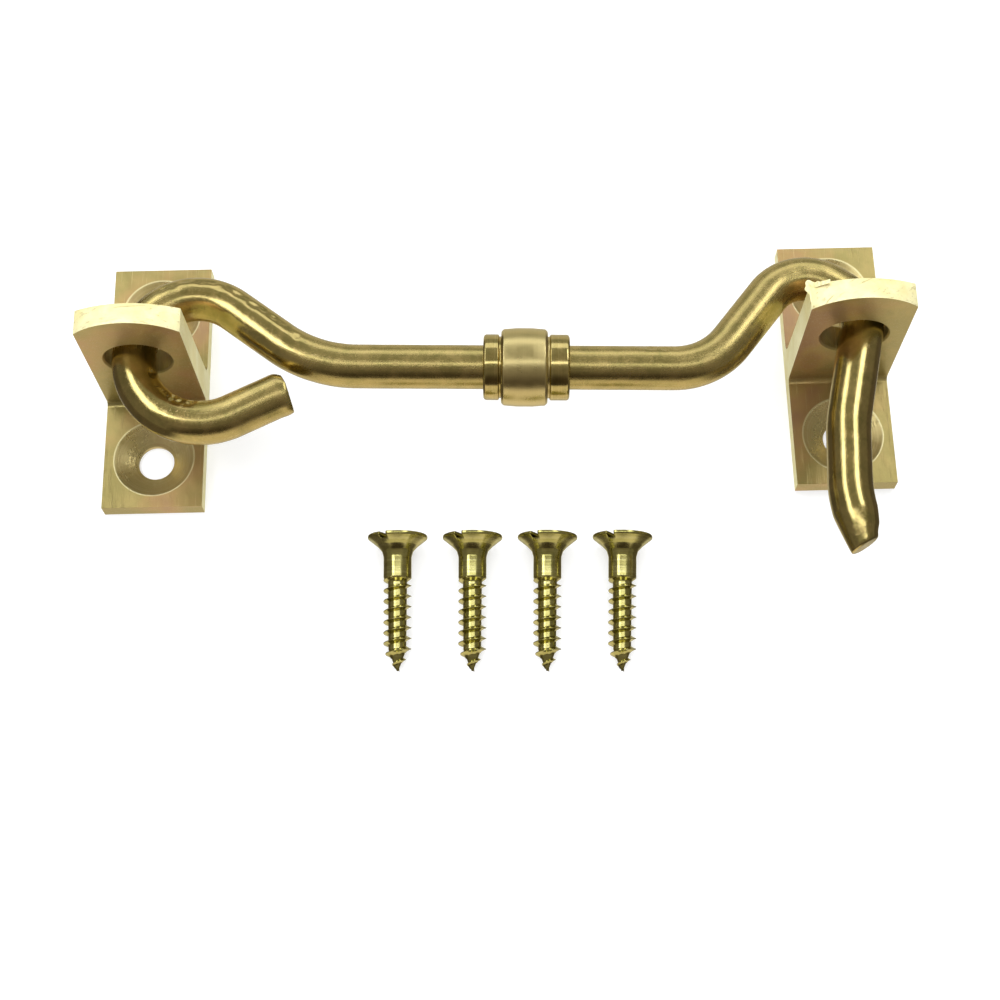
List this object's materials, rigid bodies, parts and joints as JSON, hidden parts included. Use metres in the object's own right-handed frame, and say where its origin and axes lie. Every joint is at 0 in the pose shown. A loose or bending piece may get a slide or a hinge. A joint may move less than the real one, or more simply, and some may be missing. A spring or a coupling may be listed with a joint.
{
  "type": "cabin hook with eye plates",
  "caption": "Brass cabin hook: a cranked round bar with a turned collar, captive in one T-section eye plate and hooked down through the other, with loose slotted wood screws.",
  "frame": {"origin": "centre of the fixed eye plate's flat back face", "axes": "+X along the hook from the fixed eye plate to the catch plate, +Y up when the plates are on a vertical frame, +Z out of the plates; the set lies on its plate backs at z = 0"},
  "size_m": [0.1189, 0.0677, 0.0292],
  "materials": {
    "plate_brass": "lightly brushed, extruded section with cut ends",
    "rod_brass": "polished",
    "collar_brass": "turned, polished shoulders and a satin barrel",
    "screw_brass": "bright, as rolled"
  },
  "bodies": {
    "fixed_plate": {"fixed_eye_plate": "plate_brass"},
    "hook": {"hook_rod": "rod_brass", "centre_collar": "collar_brass"},
    "catch_plate": {"catch_eye_plate": "plate_brass"},
    "screw_1": {"wood_screw_1": "screw_brass"},
    "screw_2": {"wood_screw_2": "screw_brass"},
    "screw_3": {"wood_screw_3": "screw_brass"},
    "screw_4": {"wood_screw_4": "screw_brass"}
  },
  "joints": [
    {"name": "hook_swing", "type": "hinge", "parent": "fixed_plate", "child": "hook", "pos_m": [0, 0, 0.0173], "axis": [0, -1, 0], "range_deg": [0, 180]},
    {"name": "catch_release", "type": "slide", "parent": "hook", "child": "catch_plate", "axis": [-0.0669, -0.9978, 0], "range_m": [0, 0.04]},
    {"name": "screw_1_lift", "type": "slide", "parent": "fixed_plate", "child": "screw_1", "axis": [0, 0, 1], "range_m": [0, 0.05]},
    {"name": "screw_2_lift", "type": "slide", "parent": "fixed_plate", "child": "screw_2", "axis": [0, 0, 1], "range_m": [0, 0.05]},
    {"name": "screw_3_lift", "type": "slide", "parent": "fixed_plate", "child": "screw_3", "axis": [0, 0, 1], "range_m": [0, 0.05]},
    {"name": "screw_4_lift", "type": "slide", "parent": "fixed_plate", "child": "screw_4", "axis": [0, 0, 1], "range_m": [0, 0.05]}
  ]
}
